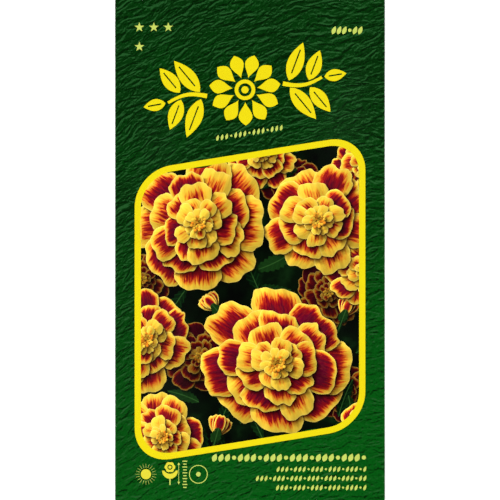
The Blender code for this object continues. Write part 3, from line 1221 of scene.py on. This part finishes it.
def makePetalMaterial():
    # Crimson petals that turn red, orange and yellow towards their waved edges
    f = flowerPrint
    n = Nodes("petalPrint")
    rim, light, hue = n.parts(n.read("paint", "Color"), "Color")
    spot = n.read("spot", "Vector")
    streaks = n.noise(spot, (0.22, 1.5, 1.0), 3.0, 0.6)
    fine = n.noise(spot, (0.6, 6.0, 1.0))
    folds = n.noise(spot, (0.09, 0.55, 1.0))
    width = n.math("ADD", n.spread(streaks, 0.25, 0.75, 0.45, 1.65), n.math("MULTIPLY", fine, 0.35))
    width = n.math("MULTIPLY", width, n.spread(hue, 0.0, 1.0, 0.70, 1.30))
    colour = n.ramp(n.math("DIVIDE", rim, n.math("MULTIPLY", width, f["bandWidth"])), f["petal"])
    colour = n.coated(
        colour,
        (fine, 0.45, 0.78, 0.24, n.mix(0.5, colour, f["streak"])),
        (n.read("paint", "Alpha"), 0.35, 0.0, 0.38, f["rim"]),
    )
    shade = n.math("SUBTRACT", 1.0, n.read("shadow"))
    return n.done(n.lit(
        colour,
        n.spread(light, 0.0, 1.0, 0.60, 1.18),
        n.spread(folds, 0.30, 0.70, 0.80, 1.16),
        shade,
        n.mix(shade, f["shadowTint"], (1.0, 1.0, 1.0)),
    ))


def makeLeafMaterial():
    # Dark leaves with slanting veins and a pale rib
    f = flowerPrint
    n = Nodes("leafPrint")
    hue = n.parts(n.read("paint", "Color"), "Color")[2]
    along, aside, _ = n.parts(n.read("spot", "Vector"))
    aside = n.math("ABSOLUTE", aside)
    veins = n.math("SINE", n.math("MULTIPLY", n.math("SUBTRACT", along, aside), f["veins"]))
    colour = n.coated(
        f["leaf"],
        (veins, 0.2, 1.0, 0.5, f["leafVein"]),
        (hue, 0.3, 1.0, 0.5, f["freshLeaf"]),
        (aside, 0.22, 0.0, 1.0, f["leafRib"]),
    )
    return n.done(n.lit(colour, n.math("SUBTRACT", 1.0, n.read("shadow"))))


def makeFloretMaterial():
    # The golden button in the middle of each bloom
    n = Nodes("floretPrint")
    _, light, hue = n.parts(n.read("paint", "Color"), "Color")
    shade = n.math("SUBTRACT", 1.0, n.read("shadow"))
    colour = n.mix(hue, *flowerPrint["florets"])
    return n.done(n.lit(colour, n.spread(light, 0.1, 0.9, 0.55, 1.25), shade))


def makeShadeMaterial():
    # The dim green deep behind the flowers
    n = Nodes("shadePrint")
    return n.done(n.ramp(n.noise(n.place(), 0.12, 3.0), flowerPrint["shade"]))


def makePicture():
    shapes = plannedShapes()
    flat, faces = flatPicture(shapes)
    middle = flat[faces].mean(1)
    owner = np.full(len(faces), -1)
    for order, shape in enumerate(shapes):
        owner[shape.covers(middle)] = order
    spot, paint, shadow = paintedCorners(flat[faces].reshape(-1, 2), np.repeat(owner, 3), shapes)
    mesh = inkMesh("flowerPicture", flat, faces, makePetalMaterial(), picture["lift"]).data
    for material in (makeLeafMaterial(), makeFloretMaterial(), makeShadeMaterial()):
        mesh.materials.append(material)
    kinds = ("petal", "leaf", "floret", "shade")
    slots = np.array([kinds.index(shape.kind) for shape in shapes] + [kinds.index("shade")])
    rims = np.full(len(mesh.polygons) - len(faces), -1)
    mesh.polygons.foreach_set("material_index", slots[np.concatenate([owner, rims])].astype(np.int32))
    for name, kind, key, values in (
        ("spot", "FLOAT_VECTOR", "vector", spot),
        ("paint", "FLOAT_COLOR", "color", paint),
        ("shadow", "FLOAT", "value", shadow[:, None]),
    ):
        # The rim's own corners come last and stay plain
        filled = np.zeros((len(mesh.loops), values.shape[1]), np.float32)
        filled[:len(values)] = values
        mesh.attributes.new(name, kind, "CORNER").data.foreach_set(key, filled.ravel())
    print("picture printed:", len(shapes), "shapes,", len(faces), "triangles")


makePicture()

# The back: a pale panel with a month chart, signs and rows of leaves, seen from below

backPrint = {
    "panel": (36.0, 54.0, 5.0),  # half width, half height and corner
    "border": ((34.6, 52.6, 4.0), (34.1, 52.1, 3.7)),
    "chartTop": 42.0,
    "cell": (4.9, 3.9),
    "line": 0.30,
    "months": (  # name, first month, last month, row and ink
        ("monthsSown", 2, 4, 0, orangeInk),
        ("monthsPlanted", 4, 6, 1, greenInk),
        ("monthsInBloom", 6, 10, 2, yellowInk),
    ),
    "monthInset": 0.75,
    "signY": 18.5,
    "signX": (26.0, 9.0, -9.0, -26.0),
    "signRadii": (6.6, 6.2),
    "heading": ((-22, 47.3), (22, 47.3), 3.0, 1.6, 17),  # as in leafRows
    "flapRows": {"topFlapRow": 72.0, "bottomFlapRow": -72.0},
    "flapRow": (24.0, 3.2, 1.6, 17),  # half length, then as in leafRows
    "rowTop": 6.0,
    "rowStep": 3.6,
    "rowStart": 31.0,
    "rowEnds": (-31.0, -31.0, -31.0, -12.0, None, -31.0, -31.0, -22.0, None, -31.0, -31.0, -31.0, -5.0),
    "rowLeaf": (1.7, 0.8),  # height and width; the leaves stand as far apart as they are high
    "lift": (0.015, 0.035),  # of the panel, and of what is printed on it
    "step": 1.2,
    "fineStep": 0.8,
}


def cellLoop(column, row, inset):
    # A cell of the month chart, counted from the right because the back is read from below
    wide, high = backPrint["cell"]
    middle = (6 - (column + 0.5)) * wide, backPrint["chartTop"] - (row + 0.5) * high
    return barLoop(middle, 0, wide - 2 * inset, high - 2 * inset)


def dropLoop(centre, radius, height):
    # A drop of water, round below and pointed above
    loop = []
    for angle in spokes(22):
        pull = max(0.0, math.sin(angle)) ** 3
        x, y = around(centre, angle, radius)
        loop.append((x - 0.75 * pull * radius * math.cos(angle), y + pull * height))
    return loop


def printBack():
    b = backPrint
    y = b["signY"]
    sunX, dropX, plantX, spaceX = b["signX"]
    wide, tall = b["cell"]
    low, high = b["lift"]
    plain = {"step": b["step"], "lift": high, "back": True}
    fine = {**plain, "step": b["fineStep"]}
    chart = [barLoop((0, b["chartTop"] - 1.5 * tall), 0, 12 * wide + b["line"], 3 * tall + b["line"])]
    chart += [cellLoop(column, row, b["line"] / 2) for column in range(12) for row in range(3)]
    printPiece("backPanel", [roundedLoop(*b["panel"])], creamInk, b["step"], low, True)
    printPiece("backBorder", [roundedLoop(*border) for border in b["border"]], greenInk, **plain)
    printPiece("monthChart", chart, greenInk, **plain)
    for name, first, last, row, material in b["months"]:
        cells = [cellLoop(month - 1, row, b["monthInset"]) for month in range(first, last + 1)]
        printPiece(name, cells, material, **plain)
    printRow("backHeading", *b["heading"], greenInk, True)
    rings = [discLoop((x, y), radius, 48) for x in b["signX"] for radius in b["signRadii"]]
    plant = plantLoops((plantX + 0.8, y + 2.0)) + [arrowLoop((plantX - 2.8, y), 3.5)]
    printPiece("signRings", rings, greenInk, **plain)
    printPiece("backSun", [discLoop((sunX, y), 1.64)] + sunLoops((sunX, y)), orangeInk, **fine)
    printPiece("backDrop", [dropLoop((dropX, y - 1.0), 2.2, 2.2)], greenInk, **fine)
    printPiece("backPlant", plant, greenInk, **fine)
    printPiece("backSpacing", spacingLoops((spaceX, y)), greenInk, **fine)
    start = b["rowStart"]
    height, width = b["rowLeaf"]
    for number, end in enumerate(b["rowEnds"]):
        if end is not None:
            y = b["rowTop"] - b["rowStep"] * number
            count = round((start - end) / height)
            printRow(f"backRow{number + 1}", (end, y), (start, y), height, width, count, greenInk, True)
    half, *flapRow = b["flapRow"]
    for name, y in b["flapRows"].items():
        printRow(name, (-half, y), (half, y), *flapRow, back=True)
    print("back printed")


printBack()

# The sachet keeps its solid and gets a paper with heat-seal dimples

sealingPaper = {
    "shade": (0.70, 0.68, 0.60),
    "fibre": (0.80, 0.78, 0.71),
    "dimple": (0.55, 0.53, 0.46),
    "dimples": 4.5,  # radians a millimetre
    "sealFrom": (25.0, 38.0),  # from the middle to the side seals and up to the top one
}


def makeSachetMaterial():
    p = sealingPaper
    n = Nodes("sealingPaper")
    where = n.place()
    x, y, _ = n.parts(where)
    side, top = p["sealFrom"]
    sideSeal = n.math("GREATER_THAN", n.math("ABSOLUTE", x), side)
    seal = n.math("MAXIMUM", sideSeal, n.math("GREATER_THAN", y, top))
    waves = []
    for way in ("ADD", "SUBTRACT"):
        waves.append(n.math("SINE", n.math("MULTIPLY", n.math(way, x, y), p["dimples"])))
    dimples = n.math("MULTIPLY", n.math("MULTIPLY", *waves), seal)
    fibres = n.noise(where, (0.8, 2.5, 1.0), 4.0, 0.6)
    colour = n.coated(p["shade"], (fibres, 0.3, 0.7, 1.0, p["fibre"]), (dimples, 0.2, 0.7, 0.5, p["dimple"]))
    return n.done(colour, 0.45, n.bump(dimples, 0.4, 0.08))


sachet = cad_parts["sachet"]
sachet.material_slots[0].link = "OBJECT"
sachet.material_slots[0].material = makeSachetMaterial()

# Seeds: ribbed black bodies, each with a tuft of straw-coloured bristles

seed = {
    "length": 9.2,
    "thickness": 0.95,
    "bodyEnd": 0.70,
    "fullEnd": 0.78,  # share of the length at which the body would taper to nothing
    "rings": 9,
    "ribs": 6,
    "ribDepth": 0.14,
    "bristles": 7,
    "bristleSpread": 0.19,
    "bristleFoot": 0.05,
    "coat": ((0.012, 0.009, 0.007), (0.050, 0.038, 0.028)),
    "straw": ((0.52, 0.40, 0.20), (0.68, 0.56, 0.32)),
}


def seedShape():
    # One seed along its own length, from its base to the tips of its bristles
    sides = seed["ribs"] * 2
    points, faces = [], []
    for share in np.linspace(0, seed["bodyEnd"], seed["rings"]):
        full = math.sin(math.pi * min(share / seed["fullEnd"], 1.0) ** 0.8)
        thick = seed["thickness"] / 2 * max(0.16, full)
        ring = loopRound((0, 0), [thick, thick * (1 - seed["ribDepth"])] * seed["ribs"])
        points += [(x, y, (share - 0.5) * seed["length"]) for x, y in ring]
    for start in range(0, len(points) - sides, sides):
        for a, b in edgesRound(sides) + start:
            faces.append((a, b, b + sides, a + sides))
    faces += [tuple(range(sides))[::-1], tuple(range(len(points) - sides, len(points)))]
    kinds = [0] * len(faces)
    foot = (seed["bodyEnd"] - 0.53) * seed["length"]
    for number, angle in enumerate(spokes(seed["bristles"])):
        x, y = around((0, 0), angle, seed["bristleSpread"] if number else 0.0)
        start = len(points)
        base = loopRound((0.45 * x, 0.45 * y), [seed["bristleFoot"]] * 3, angle)
        points += [(px, py, foot) for px, py in base] + [(x, y, seed["length"] / 2)]
        faces += [(start + i, start + (i + 1) % 3, start + 3) for i in range(3)]
        faces.append((start + 2, start + 1, start))
        kinds += [1] * 4
    return np.array(points), faces, kinds


def makeSeedMaterial(name, shades, scale, detail, roughness, shine, spread):
    n = Nodes(name)
    grain = n.noise(n.place(), scale, detail, roughness)
    colour = n.coated(shades[0], (grain, *spread, 1.0, shades[1]))
    return n.done(colour, shine, n.bump(grain, 0.4, 0.05) if name == "seedCoat" else None)


def seedAxes(node):
    # Where a plain seed lies: its middle, and the way from its base to its tuft
    spots = np.array([tuple(node.matrix_world @ v.co) for v in node.data.vertices]) / mm
    middle = spots.mean(0)
    way = np.linalg.svd(spots - middle)[2][0]
    along = (spots - middle) @ way
    aside = np.linalg.norm((spots - middle) - along[:, None] * way, axis=1)
    low, high = along.min(), along.max()
    tuftIsAhead = aside[along > high - 0.05].max() > aside[along < low + 0.05].max()
    return middle + way * (low + high) / 2, way if tuftIsAhead else -way


def makeSeeds():
    shape, shapeFaces, shapeKinds = seedShape()
    names = sorted(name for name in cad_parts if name.startswith("seed_"))
    points, faces = [], []
    for number, name in enumerate(names):
        middle, way = seedAxes(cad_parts[name])
        turn = np.array(Vector(way).to_track_quat("Z", "Y").to_matrix())
        points.append(shape @ turn.T + middle)
        faces += [tuple(number * len(shape) + p for p in face) for face in shapeFaces]
    mesh = bpy.data.meshes.new("seeds")
    mesh.from_pydata((np.concatenate(points) * mm).tolist(), [], faces)
    mesh.materials.append(makeSeedMaterial("seedCoat", seed["coat"], 3.0, 4.0, 0.65, 0.55, (0.35, 0.7)))
    mesh.materials.append(makeSeedMaterial("seedBristles", seed["straw"], 2.0, 3.0, 0.5, 0.6, (0.3, 0.7)))
    mesh.polygons.foreach_set("material_index", np.array(shapeKinds * len(names), np.int32))
    seeds = added("seeds", mesh)
    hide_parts(*names)
    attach(seeds, "root")
    print("seeds made:", len(names))


makeSeeds()

bpy.context.view_layer.update()
